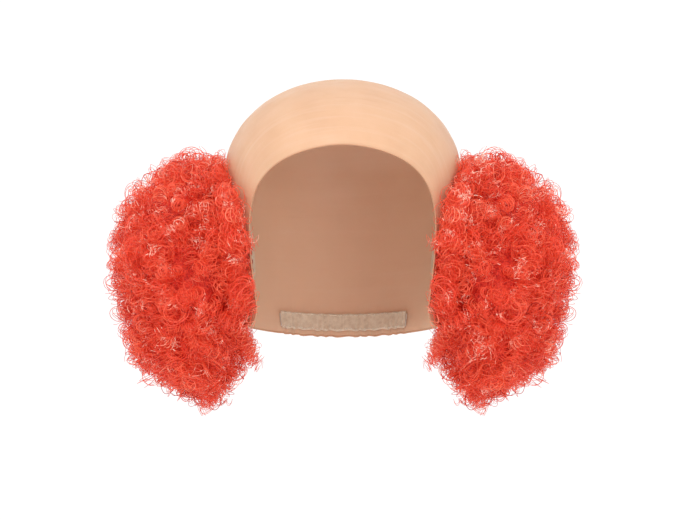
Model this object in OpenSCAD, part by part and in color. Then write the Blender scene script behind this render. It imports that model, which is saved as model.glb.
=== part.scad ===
// Costume wig: a bald rubber skull cap with a big curly hair puff sewn to each side.
// Millimetres, +Z up, the face looks along -Y, and the wearer's left is +X.
// The origin is the middle of the head at eye and ear level.

/* [Cap] */
// Half of the cap's width, above the ears
half_w = 87; // [80:1:92]
// Half of the cap's length, from forehead to back of head
half_l = 103; // [95:1:110]
// Height of the dome above the brow line
dome_h = 69.5; // [62:0.5:75]
// Level where the dome starts to close over the crown
brow_z = 45; // [38:1:50]
// Thickness of the rubber skin
cap_wall = 1.2; // [0.8:0.1:2]
// Height of the front edge in the middle of the forehead
front_z = 61.6; // [55:0.2:66]
// Level at which the front edge turns back under the ear
corner_z = -50; // [-56:1:-44]
// Level of the lower edge beside the ear
side_z = -66; // [-70:1:-60]
// Level of the lower edge at the nape
nape_z = -78; // [-84:1:-72]

/* [Hair base] */
// Level of the middle of each sewn-on hair base
base_z = -10; // [-14:1:-6]
// Half of the base's height
base_half_h = 50; // [40:1:50]
// Half of the base's width, as an angle round the head
base_half_a = 32; // [26:1:34]
// Thickness of the base fabric
base_wall = 1; // [0.6:0.1:1.4]
// Rows of weft on each base
weft_rows = 7; // [7:1:7]
// Height of one weft's sewn head
weft_h = 4.5; // [3:0.5:6]
// Thickness of one weft's sewn head
weft_wall = 2.2; // [1.5:0.1:2.6]

/* [Hair] */
// Distance of a puff's middle from the mid-plane
puff_x = 114; // [108:1:120]
// Level of a puff's middle
puff_z = -32; // [-38:1:-26]
// Half of a puff's width
puff_half_w = 59; // [50:1:62]
// Half of a puff's depth, front to back
puff_half_l = 80; // [70:1:84]
// Half of a puff's height
puff_half_h = 95; // [85:1:98]
// Level of the line about which a puff sways
sway_z = -12; // [-14:1:-10]
// How far a puff may sway each way, in degrees
sway_angle = 5; // [3:0.5:5]

/* [Hidden] */

skin_colour = [0.96, 0.81, 0.66];
hair_colour = [0.87, 0.17, 0.12];
thread_colour = [0.72, 0.14, 0.11];
cloth_colour = [0.93, 0.88, 0.8];

head_y = 8;           // the middle of the head's length
plan_power = 0.91;    // under 1, the plan is fuller than an ellipse
side_tuck = 0.16;     // how far the sides draw in at full depth
back_tuck = 0.3;      // how far the nape draws in at full depth
full_depth = 95;      // the level angle at which they reach that
front_a = 51;         // angle round the head where the front edge runs straight down
corner_a = 66;        // angle where the rounded lower corner ends
front_steps = 12;     // columns of the cap's grid across half the front
corner_steps = 4;     // round each lower corner
back_steps = 14;      // from the corner to the nape
level_steps = 12;     // rows of that grid from crown to edge

layer_gap = 0.5;      // room between two layers, for their flat facets
base_off = layer_gap;
weft_off = base_off + base_wall + layer_gap;
backing_wall = 0.8;
backing_grow = 1.06;  // the inside patch is a little larger than the base
backing_off = -cap_wall - layer_gap - backing_wall;
root_off = weft_off + weft_wall + 1;
hair_half_a = 38;     // the hair reaches a little past the base
hair_edge = 14;       // least length of hair, at the front and back edges
puff_y = head_y;
row_gap = 0.6;        // between the hair of two rows
fan_up = 80;          // the top row's hair stands up by this angle
fan_down = 112;       // and the lowest row's hangs down by this one
waist_z = -28;        // below this level the hair hangs a little further in
waist_in = 5;
hang_z = -85;         // below this one it gathers towards the tip
top_z = 25;           // and above this one it rounds in towards the top
round_rate = 0.011;
inner_x = 70;         // none of this moves the side against the head
inner_ramp = 70;
fan_side = 62;        // the foremost and rearmost hair leans out by this one

stitch_pitch = 7;
stitch_size = [0.6, 4.2, 0.9];
stitch_sink = 0.15;   // how far a stitch is drawn into the cloth
seam_share = 0.95;    // the seam lies just inside the base's outline
weft_share = 0.88;    // a weft stops short of it
degree_length = 3.2;  // two degrees round the side of the head, in millimetres

nape_a = 40;          // half of the nape band's length, as an angle
nape_edge = 3;        // the band's height above the cap's lower edge
elastic_h = 10;
elastic_wall = 1;
casing_h = 13;
casing_wall = 0.7;
elastic_off = -cap_wall - layer_gap - elastic_wall;
casing_off = elastic_off - layer_gap - casing_wall;

// ---- the head's surface: a is the angle round it from the forehead, t the level angle, 90 at the crown
function lerp(low, high, f) = low + (high - low) * f;
function spow(v, e) = sign(v) * pow(abs(v), e);
function smooth(f) = f * f * (3 - 2 * f);
function ease(f) = smooth(max(0, min(1, f)));
function height_at(t) = brow_z + dome_h * (t > 0 ? sin(t) : t * PI / 180);
function level_at(z) = z > brow_z ? asin((z - brow_z) / dome_h) : (z - brow_z) / dome_h * 180 / PI;
function narrow(t, amount, power) = t > 0 ? cos(t) : 1 - amount * pow(-t / full_depth, power);
function length_at(a, t) = half_l * (cos(a) > 0 ? narrow(t, 0, 1) : narrow(t, back_tuck, 2.2));
function head(a, t) = [
    half_w * narrow(t, side_tuck, 1.7) * spow(sin(a), plan_power),
    head_y - length_at(a, t) * spow(cos(a), plan_power),
    height_at(t)
];
function unit(v) = v / norm(v);
function head_normal(a, t) = t > 88
    ? [0, 0, 1]
    : unit(cross(head(a + 1, t) - head(a - 1, t), head(a, t + 1) - head(a, t - 1)));
function head_at(a, t, off) = head(a, t) + off * head_normal(a, t);

// ---- the cap's lower edge, as [angle, level] pairs from forehead to nape
function front_edge(s) = [
    front_a * pow(1 - pow(1 - s, 3), 0.625),
    corner_z + (front_z - corner_z) * pow(1 - s, 0.666)
];
function corner_edge(s) = [
    corner_a - (corner_a - front_a) * cos(90 * s),
    corner_z + (side_z - corner_z) * sin(90 * s)
];
function back_edge(s) = [lerp(corner_a, 180, s), lerp(side_z, nape_z, smooth(s))];
half_edge = concat(
    [for (i = [0:front_steps - 1]) front_edge(i / front_steps)],
    [for (i = [0:corner_steps - 1]) corner_edge(i / corner_steps)],
    [for (i = [0:back_steps]) back_edge(i / back_steps)]
);
last_edge = len(half_edge) - 1;
whole_edge = concat(
    half_edge,
    [for (i = [1:last_edge - 1]) [360 - half_edge[last_edge - i][0], half_edge[last_edge - i][1]]]
);
function nape_level(a) = back_edge((min(a, 360 - a) - corner_a) / (180 - corner_a))[1];

// ---- a point of the hair base: u runs from bottom to top and v from front to back, both -1 to 1
function chord(u) = sqrt(1 - 0.9 * pow(min(1, abs(u)), 2.6));
function base_level(u) = level_at(base_z + base_half_h * u);
function base_point(u, v, half_a, off) = head_at(90 + half_a * chord(u) * v, base_level(u), off);

// ---- a row of hair, from its roots beside the base out to the puff's surface
function root_clearance(u) = root_off + abs(base_z + base_half_h * u - sway_z) * (sin(sway_angle) + 0.005);
function root_point(u, v) = base_point(u, v, hair_half_a, root_clearance(u));
function hair_way(u, v) = let (up = u > 0 ? fan_up * u : fan_down * u, side = fan_side * chord(u) * v)
    [cos(up) * cos(side), sin(side), sin(up) * cos(side)];
puff_half = [puff_half_w, puff_half_l, puff_half_h];
function shrink(v) = [for (i = [0:2]) v[i] / puff_half[i]];
function reach(p, d) = let (
        q = shrink(p - [puff_x, puff_y, puff_z]),
        e = shrink(d),
        half_b = q * e,
        gap = half_b * half_b - (e * e) * (q * q - 1)
    ) gap < 0 ? 0 : (sqrt(gap) - half_b) / (e * e);
function soft_max(p, q) = (p + q + sqrt((p - q) * (p - q) + 60)) / 2;
function drawn_in(p) = let (
        waist = waist_in * ease((waist_z - p.z) / 20),
        hang = round_rate * pow(max(hang_z - p.z, 0), 2),
        top = round_rate * pow(max(p.z - top_z, 0), 2)
    ) (waist + hang + top) * ease((p.x - inner_x) / inner_ramp);
function tip_point(u, v) = let (
        p = root_point(u, v),
        d = hair_way(u, v),
        tip = p + soft_max(hair_edge, reach(p, d)) * d
    ) tip - [drawn_in(tip), 0, 0];

// ---- solids from grids of points
// A closed slab between two grids, the first on the side that its faces look out of.
module slab(outer, inner) {
    rows = len(outer);
    cols = len(outer[0]);
    function at(layer, i, j) = (layer * rows + i) * cols + j;
    function quad(a, b, c, d) = [[a, b, c], [a, c, d]];
    faces = [
        for (i = [0:rows - 2], j = [0:cols - 2])
            each quad(at(0, i, j), at(0, i + 1, j), at(0, i + 1, j + 1), at(0, i, j + 1)),
        for (i = [0:rows - 2], j = [0:cols - 2])
            each quad(at(1, i, j), at(1, i, j + 1), at(1, i + 1, j + 1), at(1, i + 1, j)),
        for (i = [0:rows - 2])
            each quad(at(0, i, 0), at(1, i, 0), at(1, i + 1, 0), at(0, i + 1, 0)),
        for (i = [0:rows - 2])
            each quad(at(0, i, cols - 1), at(0, i + 1, cols - 1), at(1, i + 1, cols - 1), at(1, i, cols - 1)),
        for (j = [0:cols - 2])
            each quad(at(0, 0, j), at(0, 0, j + 1), at(1, 0, j + 1), at(1, 0, j)),
        for (j = [0:cols - 2])
            each quad(at(0, rows - 1, j), at(1, rows - 1, j), at(1, rows - 1, j + 1), at(0, rows - 1, j + 1))
    ];
    polyhedron([for (grid = [outer, inner], row = grid) each row], faces, convexity = 6);
}

function base_grid(half_a, half_u, off, rows, cols) = [
    for (i = [0:rows]) [
        for (j = [0:cols]) base_point(lerp(-half_u, half_u, i / rows), lerp(-1, 1, j / cols), half_a, off)
    ]
];

// ---- the cap: an outer and an inner skin that meet at the edge
module bald_cap() {
    cols = len(whole_edge);
    function column(j, off) = [
        for (i = [1:level_steps])
            head_at(whole_edge[j][0], lerp(90, level_at(whole_edge[j][1]), i / level_steps), off)
    ];
    skins = [for (off = [0, -cap_wall], j = [0:cols - 1]) each column(j, off)];
    poles = [head_at(0, 90, 0), head_at(0, 90, -cap_wall)];
    function at(skin, j, i) = (skin * cols + j % cols) * level_steps + i;
    function pole(skin) = 2 * cols * level_steps + skin;
    faces = [
        for (j = [0:cols - 1]) [pole(0), at(0, j, 0), at(0, j + 1, 0)],
        for (j = [0:cols - 1]) [pole(1), at(1, j + 1, 0), at(1, j, 0)],
        for (j = [0:cols - 1], i = [0:level_steps - 2]) each [
            [at(0, j, i), at(0, j, i + 1), at(0, j + 1, i + 1)],
            [at(0, j, i), at(0, j + 1, i + 1), at(0, j + 1, i)],
            [at(1, j, i), at(1, j + 1, i + 1), at(1, j, i + 1)],
            [at(1, j, i), at(1, j + 1, i), at(1, j + 1, i + 1)]
        ],
        for (j = [0:cols - 1]) let (e = level_steps - 1) each [
            [at(0, j, e), at(1, j, e), at(1, j + 1, e)],
            [at(0, j, e), at(1, j + 1, e), at(0, j + 1, e)]
        ]
    ];
    color(skin_colour) polyhedron([each skins, each poles], faces, convexity = 6);
}

// ---- what is sewn to each side; the right side is the mirror image of the left
module on_side(side) {
    mirror([side < 0 ? 1 : 0, 0, 0]) children();
}

module hair_base(side) {
    color(thread_colour) on_side(side) slab(
        base_grid(base_half_a, 1, base_off + base_wall, 10, 14),
        base_grid(base_half_a, 1, base_off, 10, 14)
    );
}

module backing_patch(side) {
    color(cloth_colour) on_side(side) slab(
        base_grid(base_half_a * backing_grow, backing_grow, backing_off + backing_wall, 10, 14),
        base_grid(base_half_a * backing_grow, backing_grow, backing_off, 10, 14)
    );
}

// One stitch lying on the surface at p, along the way to q, with n the surface's normal.
module stitch(p, q, n) {
    across = [-n.y, n.x, 0] / norm([n.x, n.y]);
    roll = atan2((q - p) * cross(n, across), (q - p) * across);
    translate((p + q) / 2)
        rotate([0, -asin(n.z), atan2(n.y, n.x)])
            rotate([roll, 0, 0])
                cube(stitch_size, center = true);
}

stitch_off = backing_off - stitch_size.x / 2 + stitch_sink;
function seam(u, v) = base_point(u, v, base_half_a * seam_share, stitch_off);
function seam_normal(u, v) = head_normal(90 + base_half_a * seam_share * chord(u) * v, base_level(u));

module base_stitching(side) {
    rows = round(2 * seam_share * base_half_h / stitch_pitch);
    color(thread_colour) on_side(side) {
        for (v = [-1, 1], i = [0:rows - 1]) {
            u = lerp(-seam_share, seam_share, (i + 0.5) / rows);
            stitch(seam(u - 0.05, v), seam(u + 0.05, v), seam_normal(u, v));
        }
        for (u = [-seam_share, seam_share]) {
            cols = round(chord(u) * base_half_a * degree_length / stitch_pitch);
            for (j = [0:cols - 1]) {
                v = lerp(-1, 1, (j + 0.5) / cols);
                stitch(seam(u, v - 0.06), seam(u, v + 0.06), seam_normal(u, v));
            }
        }
    }
}

// Row 1 is the lowest.
function row_middle(row) = (2 * row - 1) / weft_rows - 1;

module weft(side, row) {
    u = row_middle(row);
    half_u = weft_h / 2 / base_half_h;
    function strip(off) = [
        for (du = [-half_u, half_u]) [
            for (j = [0:16]) base_point(u + du, lerp(-1, 1, j / 16), base_half_a * weft_share, off)
        ]
    ];
    color(thread_colour) on_side(side) slab(strip(weft_off + weft_wall), strip(weft_off));
}

module curls(side, row) {
    half_u = 1 / weft_rows - row_gap / 2 / base_half_h;
    us = [for (i = [0:4]) row_middle(row) + lerp(-half_u, half_u, i / 4)];
    vs = [for (j = [0:18]) lerp(-1, 1, j / 18)];
    color(hair_colour) on_side(side) slab(
        [for (u = us) [for (v = vs) tip_point(u, v)]],
        [for (u = us) [for (v = vs) root_point(u, v)]]
    );
}

// ---- the nape: an elastic in a sewn channel inside the lower edge
function nape_strip(low, high, off) = [
    for (z = [low, high]) [
        for (j = [0:20]) let (a = lerp(180 - nape_a, 180 + nape_a, j / 20))
            head_at(a, level_at(nape_level(a) + nape_edge + z), off)
    ]
];

module nape_casing() {
    color(cloth_colour) slab(
        nape_strip(0, casing_h, casing_off + casing_wall),
        nape_strip(0, casing_h, casing_off)
    );
}

module nape_elastic() {
    low = (casing_h - elastic_h) / 2;
    color("white") slab(
        nape_strip(low, low + elastic_h, elastic_off + elastic_wall),
        nape_strip(low, low + elastic_h, elastic_off)
    );
}

module nape_stitching() {
    count = 18;
    off = casing_off - stitch_size.x / 2 + stitch_sink;
    function on_band(a, z) = head_at(a, level_at(nape_level(a) + nape_edge + z), off);
    color(cloth_colour) for (z = [1.2, casing_h - 1.2], j = [0:count - 1]) {
        a = lerp(182 - nape_a, 178 + nape_a, j / (count - 1));
        stitch(on_band(a - 1, z), on_band(a + 1, z), head_normal(a, level_at(nape_level(a) + z)));
    }
}

bald_cap();
hair_base(1);  // left_hair_base
hair_base(-1);  // right_hair_base
backing_patch(1);  // left_backing_patch
backing_patch(-1);  // right_backing_patch
base_stitching(1);  // left_base_stitching
base_stitching(-1);  // right_base_stitching
weft(1, 1);  // left_weft_1
weft(1, 2);  // left_weft_2
weft(1, 3);  // left_weft_3
weft(1, 4);  // left_weft_4
weft(1, 5);  // left_weft_5
weft(1, 6);  // left_weft_6
weft(1, 7);  // left_weft_7
weft(-1, 1);  // right_weft_1
weft(-1, 2);  // right_weft_2
weft(-1, 3);  // right_weft_3
weft(-1, 4);  // right_weft_4
weft(-1, 5);  // right_weft_5
weft(-1, 6);  // right_weft_6
weft(-1, 7);  // right_weft_7
curls(1, 1);  // left_curls_1
curls(1, 2);  // left_curls_2
curls(1, 3);  // left_curls_3
curls(1, 4);  // left_curls_4
curls(1, 5);  // left_curls_5
curls(1, 6);  // left_curls_6
curls(1, 7);  // left_curls_7
curls(-1, 1);  // right_curls_1
curls(-1, 2);  // right_curls_2
curls(-1, 3);  // right_curls_3
curls(-1, 4);  // right_curls_4
curls(-1, 5);  // right_curls_5
curls(-1, 6);  // right_curls_6
curls(-1, 7);  // right_curls_7
nape_casing();
nape_elastic();
nape_stitching();
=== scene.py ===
# The looks of the costume wig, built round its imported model: metres, +Z up, the face looks along -Y.
import math

import bpy
import numpy as np
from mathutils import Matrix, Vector


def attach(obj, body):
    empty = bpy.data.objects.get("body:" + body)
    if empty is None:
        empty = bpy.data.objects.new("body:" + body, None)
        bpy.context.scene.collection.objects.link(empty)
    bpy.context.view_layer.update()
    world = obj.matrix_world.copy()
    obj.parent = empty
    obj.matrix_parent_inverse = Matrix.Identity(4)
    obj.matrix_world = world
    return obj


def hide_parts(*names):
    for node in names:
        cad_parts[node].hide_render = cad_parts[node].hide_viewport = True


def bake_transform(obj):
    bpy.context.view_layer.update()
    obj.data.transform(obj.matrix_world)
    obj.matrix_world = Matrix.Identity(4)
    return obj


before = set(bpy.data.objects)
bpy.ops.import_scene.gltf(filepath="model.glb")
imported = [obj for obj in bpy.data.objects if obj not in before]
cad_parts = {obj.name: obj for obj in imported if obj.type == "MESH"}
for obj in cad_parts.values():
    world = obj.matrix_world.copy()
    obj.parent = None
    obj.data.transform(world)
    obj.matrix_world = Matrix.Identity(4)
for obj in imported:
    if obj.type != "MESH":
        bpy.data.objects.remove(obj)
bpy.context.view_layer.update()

MM = 0.001
SIDES = {"left": 1, "right": -1}

# ---- the cap's sizes, the same as the design's
HALF_W, HALF_L, DOME_H, BROW_Z = 87 * MM, 103 * MM, 69.5 * MM, 45 * MM
CAP_WALL, HEAD_Y = 1.2 * MM, 8 * MM
FRONT_Z, CORNER_Z, SIDE_Z, NAPE_Z = 61.6 * MM, -50 * MM, -66 * MM, -78 * MM
PLAN_POWER, SIDE_TUCK, BACK_TUCK, FULL_DEPTH = 0.91, 0.16, 0.3, 95
FRONT_A, CORNER_A = 51, 66

# ---- the layers sewn to each side
LAYER_GAP = 0.5 * MM
BASE_Z, BASE_HALF_H, BASE_HALF_A, BASE_WALL = -10 * MM, 50 * MM, 32, 1 * MM
BACKING_WALL, BACKING_GROW = 0.8 * MM, 1.06
WEFT_ROWS, WEFT_H, WEFT_WALL, WEFT_SHARE = 7, 4.5 * MM, 2.2 * MM, 0.88
BASE_OFF = LAYER_GAP
WEFT_OFF = BASE_OFF + BASE_WALL + LAYER_GAP
BACKING_OFF = -CAP_WALL - LAYER_GAP - BACKING_WALL
SEAM_SHARE, STITCH_PITCH, STITCH_LENGTH = 0.95, 7 * MM, 4.2 * MM

# ---- the nape's band
NAPE_A, NAPE_EDGE = 40, 3 * MM
ELASTIC_H, ELASTIC_WALL, CASING_H, CASING_WALL = 10 * MM, 1 * MM, 13 * MM, 0.7 * MM
ELASTIC_OFF = -CAP_WALL - LAYER_GAP - ELASTIC_WALL
CASING_OFF = ELASTIC_OFF - LAYER_GAP - CASING_WALL

# ---- the puffs
PUFF_CENTRE = np.array([114, 8, -32]) * MM
PUFF_HALF = np.array([59, 80, 95]) * MM
HAIR_HALF_A, HAIR_EDGE = 38, 14 * MM
FAN_UP, FAN_DOWN, FAN_SIDE = 80, 112, 62
WAIST_Z, WAIST_IN, HANG_Z, TOP_Z = -28 * MM, 5 * MM, -85 * MM, 25 * MM
ROUND_RATE, INNER_X, INNER_RAMP = 11, 70 * MM, 70 * MM


# ---- the head's surface: angles run round it from the forehead, levels are 90 at the crown
def spow(value, power):
    return np.sign(value) * np.abs(value) ** power


def smooth(x):
    x = np.clip(x, 0, 1)
    return x * x * (3 - 2 * x)


def level_at(z):
    dome = np.degrees(np.arcsin(np.clip((z - BROW_Z) / DOME_H, -1, 1)))
    return np.where(z > BROW_Z, dome, np.degrees((z - BROW_Z) / DOME_H))


def narrow(level, amount, power):
    wall = 1 - amount * (np.maximum(-level, 0) / FULL_DEPTH) ** power
    return np.where(level > 0, np.cos(np.radians(level)), wall)


def head(angle, level):
    angle, level = np.broadcast_arrays(np.asarray(angle, float), np.asarray(level, float))
    s, c = np.sin(np.radians(angle)), np.cos(np.radians(angle))
    length = HALF_L * np.where(c > 0, narrow(level, 0, 1), narrow(level, BACK_TUCK, 2.2))
    x = HALF_W * narrow(level, SIDE_TUCK, 1.7) * spow(s, PLAN_POWER)
    y = HEAD_Y - length * spow(c, PLAN_POWER)
    z = BROW_Z + DOME_H * np.where(level > 0, np.sin(np.radians(level)), np.radians(level))
    return np.stack([x, y, z], -1)


def unit(v):
    return v / np.maximum(np.linalg.norm(v, axis=-1, keepdims=True), 1e-12)


def head_normal(angle, level):
    level = np.minimum(level, 87)
    around = head(np.add(angle, 1), level) - head(np.subtract(angle, 1), level)
    upwards = head(angle, np.add(level, 1)) - head(angle, np.subtract(level, 1))
    return unit(np.cross(around, upwards))


def nape_level(angle):
    turn = np.minimum(angle, 360 - np.asarray(angle, float))
    return SIDE_Z + (NAPE_Z - SIDE_Z) * smooth((turn - CORNER_A) / (180 - CORNER_A))


def relief(angle, level):
    """How far the soft rubber stands off its true shape: gathers over the nape's elastic, and faint dents."""
    turn = np.abs(np.asarray(angle, float) - 180)
    above = head(angle, level)[..., 2] - nape_level(angle)
    gathers = smooth((NAPE_A + 4 - turn) / 8) * np.exp(-((above / (17 * MM)) ** 2)) * 0.9 * MM
    gathers = gathers * np.sin(np.radians(angle) * 52 + 1.3 * np.sin(np.radians(angle) * 17))
    free = smooth((np.abs(np.abs(turn - 90)) - 42) / 12) * smooth((level + 60) / 60)
    free = np.maximum(free, smooth((level - 8) / 20))
    a = np.radians(angle)
    dents = np.sin(3 * a + 0.08 * level) + 0.7 * np.sin(5 * a - 0.11 * level + 1)
    dents = dents + 0.5 * np.sin(0.35 * level + 2 * a)
    return gathers + free * dents * 0.22 * MM * np.cos(np.radians(np.clip(level, 0, 90)))


def head_at(angle, level, off):
    off = np.asarray(off + relief(angle, level))[..., None]
    return head(angle, level) + off * head_normal(angle, level)


def chord(u):
    return np.sqrt(1 - 0.9 * np.minimum(1, np.abs(u)) ** 2.6)


def base_place(u, v, half_a):
    """The angle and level of a point of a hair base; u runs up it and v from front to back, both -1 to 1."""
    return 90 + half_a * chord(u) * v, level_at(BASE_Z + BASE_HALF_H * u)


# ---- meshes from arrays
def add_mesh(name, points, faces, materials, values=None, uv=None, face_material=None):
    """An object from its points and face arrays. values are numbers per point, for the materials to read."""
    mesh = bpy.data.meshes.new(name)
    corners = np.concatenate([f.ravel() for f in faces]).astype(np.int32)
    sizes = np.concatenate([np.full(len(f), f.shape[1]) for f in faces])
    mesh.vertices.add(len(points))
    mesh.vertices.foreach_set("co", np.ascontiguousarray(points, np.float32).ravel())
    mesh.loops.add(len(corners))
    mesh.loops.foreach_set("vertex_index", corners)
    mesh.polygons.add(len(sizes))
    mesh.polygons.foreach_set("loop_start", np.concatenate([[0], np.cumsum(sizes)[:-1]]).astype(np.int32))
    mesh.polygons.foreach_set("use_smooth", np.full(len(sizes), True))
    for material in materials:
        mesh.materials.append(material)
    if face_material is not None:
        mesh.polygons.foreach_set("material_index", face_material.astype(np.int32))
    mesh.update(calc_edges=True)
    for key, value in (values or {}).items():
        mesh.attributes.new(key, "FLOAT", "POINT").data.foreach_set("value", value.astype(np.float32).ravel())
    if uv is not None:
        for layer, coords in uv.items():
            mesh.uv_layers.new(name=layer).data.foreach_set("uv", coords[corners].astype(np.float32).ravel())
    piece = bpy.data.objects.new(name, mesh)
    bpy.context.scene.collection.objects.link(piece)
    return piece


def grid_faces(rows, cols, wrap=False):
    i, j = np.meshgrid(np.arange(rows - 1), np.arange(cols if wrap else cols - 1), indexing="ij")
    k = (j + 1) % cols
    quads = np.stack([i * cols + j, i * cols + k, (i + 1) * cols + k, (i + 1) * cols + j], -1)
    return quads.reshape(-1, 4)


def rim_faces(rows, cols):
    """The quads that join the edges of two grids of the same shape, whose points follow each other."""
    ring = np.concatenate([np.arange(cols), np.arange(1, rows) * cols + cols - 1,
                           (rows - 1) * cols + np.arange(cols - 2, -1, -1),
                           np.arange(rows - 2, 0, -1) * cols])
    after, n = np.roll(ring, -1), rows * cols
    return np.stack([ring, ring + n, after + n, after], -1)


def mirrored(points, faces, side):
    if side > 0:
        return points, faces
    return points * [-1, 1, 1], [f[:, ::-1] for f in faces]


def closed_slab(place, rows, cols, low, high, edge):
    """A sheet with rounded edges. place(p, q, off) gives its surface, with p up and q along it, both 0 to 1;
    it fills the offsets from low to high, and edge is the share of each side over which it rounds off."""
    def spaced(count, share):
        ends = share * (1 - np.cos(np.linspace(0, math.pi / 2, 5)))
        return np.concatenate([ends[:-1], np.linspace(share, 1 - share, count), 1 - ends[:-1][::-1]])
    p, q = spaced(rows, edge[0]), spaced(cols, edge[1])
    near = np.minimum(
        np.minimum(p, 1 - p)[:, None] / edge[0] + np.zeros(len(q)),
        np.minimum(q, 1 - q)[None, :] / edge[1] + np.zeros((len(p), 1)),
    )
    full = np.sqrt(np.clip(1 - (1 - np.clip(near, 0, 1)) ** 2, 0.02, 1))
    middle, half = (low + high) / 2, (high - low) / 2
    p, q = np.meshgrid(p, q, indexing="ij")
    points = np.concatenate([place(p, q, middle + half * full), place(p, q, middle - half * full)])
    top = grid_faces(*p.shape)
    uv = np.concatenate([np.stack([q.ravel(), p.ravel()], -1)] * 2)
    return points.reshape(-1, 3), [top, top[:, ::-1] + p.size, rim_faces(*p.shape)], uv


def tubes(paths, normals, radii, sides):
    """Closed tubes along paths (count, steps, 3), with a normal at each step; radii is (count, steps)."""
    count, steps, _ = paths.shape
    along = unit(np.gradient(paths, axis=1))
    across = unit(np.cross(along, normals))
    normals = np.cross(across, along)
    turn = np.arange(sides) * 2 * math.pi / sides
    ring = np.cos(turn)[:, None] * normals[:, :, None] + np.sin(turn)[:, None] * across[:, :, None]
    points = (paths[:, :, None] + radii[:, :, None, None] * ring).reshape(-1, 3)
    one = grid_faces(steps, sides, wrap=True)
    starts = (np.arange(count) * steps * sides)[:, None, None]
    cap = np.arange(sides)[None, None, :]
    ends = [starts + cap[:, :, ::-1], starts + (steps - 1) * sides + cap]
    return points, [(one[None] + starts).reshape(-1, 4), *[e.reshape(-1, sides) for e in ends]]


# ---- materials
def node(tree, kind, inputs=None, **settings):
    """A new node, its settings, and its inputs: a value, or another node's output."""
    made = tree.nodes.new(kind)
    for key, value in settings.items():
        setattr(made, key, value)
    for key, value in (inputs or {}).items():
        if isinstance(value, bpy.types.NodeSocket):
            tree.links.new(value, made.inputs[key])
        else:
            made.inputs[key].default_value = value
    return made


def new_material(name, roughness, **uniform):
    material = bpy.data.materials.new(name)
    material.use_nodes = True
    shader = material.node_tree.nodes["Principled BSDF"]
    shader.inputs["Roughness"].default_value = roughness
    for key, value in uniform.items():
        shader.inputs[key.replace("_", " ")].default_value = value
    return material, material.node_tree, shader


def place_coords(tree, scale=(1, 1, 1)):
    coords = node(tree, "ShaderNodeTexCoord").outputs["Object"]
    return node(tree, "ShaderNodeMapping", {"Vector": coords, "Scale": scale}).outputs["Vector"]


def noise(tree, scale, detail=3, rough=0.55):
    inputs = {"Vector": place_coords(tree), "Scale": scale, "Detail": detail, "Roughness": rough}
    return node(tree, "ShaderNodeTexNoise", inputs).outputs["Fac"]


def ramp(tree, fac, stops):
    made = node(tree, "ShaderNodeValToRGB", {"Fac": fac})
    while len(made.color_ramp.elements) < len(stops):
        made.color_ramp.elements.new(0.5)
    for element, (position, colour) in zip(made.color_ramp.elements, stops):
        element.position = position
        element.color = (*colour, 1)
    return made.outputs["Color"]


def mix(tree, fac, low, high):
    """Between two colours by fac; each is a value or another node's output."""
    made = node(tree, "ShaderNodeMix", data_type="RGBA")
    for key, value in (("Factor", fac), ("A", low), ("B", high)):
        socket = next(s for s in made.inputs if s.name == key and s.enabled)
        if isinstance(value, bpy.types.NodeSocket):
            tree.links.new(value, socket)
        else:
            socket.default_value = (*value, 1) if isinstance(value, tuple) else value
    return next(s for s in made.outputs if s.enabled)


def spread(tree, value, low, high, to_low, to_high):
    inputs = {"Value": value, "From Min": low, "From Max": high, "To Min": to_low, "To Max": to_high}
    return node(tree, "ShaderNodeMapRange", inputs).outputs["Result"]


def math_node(tree, operation, first, second):
    return node(tree, "ShaderNodeMath", {0: first, 1: second}, operation=operation).outputs[0]


def attribute(tree, name):
    return node(tree, "ShaderNodeAttribute", attribute_name=name).outputs["Fac"]


def bump(tree, height, strength, distance, under=None):
    inputs = {"Height": height, "Strength": strength, "Distance": distance}
    if under is not None:
        inputs["Normal"] = under
    return node(tree, "ShaderNodeBump", inputs).outputs["Normal"]


def rubber():
    """Smooth skin-toned latex: mottled, with faint stretch lines round the dome and painted shade darkening a
    thin band along its edge.
    """
    material, tree, shader = new_material("cap_rubber", 0.5, Specular_IOR_Level=0.38,
                                          Subsurface_Weight=0.12, Subsurface_Scale=0.004)
    shader.inputs["Subsurface Radius"].default_value = (1.0, 0.45, 0.3)
    blotches = ramp(tree, noise(tree, 34, 4), [(0.3, (0.615, 0.362, 0.22)), (0.5, (0.645, 0.388, 0.238)),
                                                (0.72, (0.665, 0.408, 0.258))])
    split = node(tree, "ShaderNodeSeparateXYZ", {"Vector": place_coords(tree, (11, 11, 11))}).outputs
    rings = math_node(tree, "MULTIPLY", attribute(tree, "down"), 24.0)
    stretched = {"X": split["X"], "Y": split["Y"], "Z": rings}
    across = node(tree, "ShaderNodeCombineXYZ", stretched).outputs["Vector"]
    lines = node(tree, "ShaderNodeTexNoise", {"Vector": across, "Scale": 1.0, "Detail": 5, "Roughness": 0.62,
                                              "Distortion": 0.5}).outputs["Fac"]
    lined = mix(tree, spread(tree, lines, 0.52, 0.75, 0, 0.55), blotches, (0.68, 0.46, 0.32))
    lined = mix(tree, spread(tree, lines, 0.42, 0.3, 0, 0.22), lined, (0.53, 0.27, 0.16))
    specks = spread(tree, noise(tree, 900, 2), 0.62, 0.75, 0, 0.12)
    specked = mix(tree, specks, lined, (0.5, 0.27, 0.17))
    inner = mix(tree, attribute(tree, "inside"), specked, mix(tree, 0.55, specked, (0.72, 0.52, 0.38)))
    # painted shade: a thin band along the cap's edge is darkened towards brown
    painted_rim_shade = mix(tree, attribute(tree, "edge"), inner, (0.5, 0.25, 0.14))
    tree.links.new(painted_rim_shade, shader.inputs["Base Color"])
    tree.links.new(spread(tree, noise(tree, 60, 3), 0.35, 0.7, 0.42, 0.58), shader.inputs["Roughness"])
    fine = bump(tree, noise(tree, 1400, 2), 0.12, 0.0003)
    tree.links.new(bump(tree, lines, 0.25, 0.0006, fine), shader.inputs["Normal"])
    return material


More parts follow.
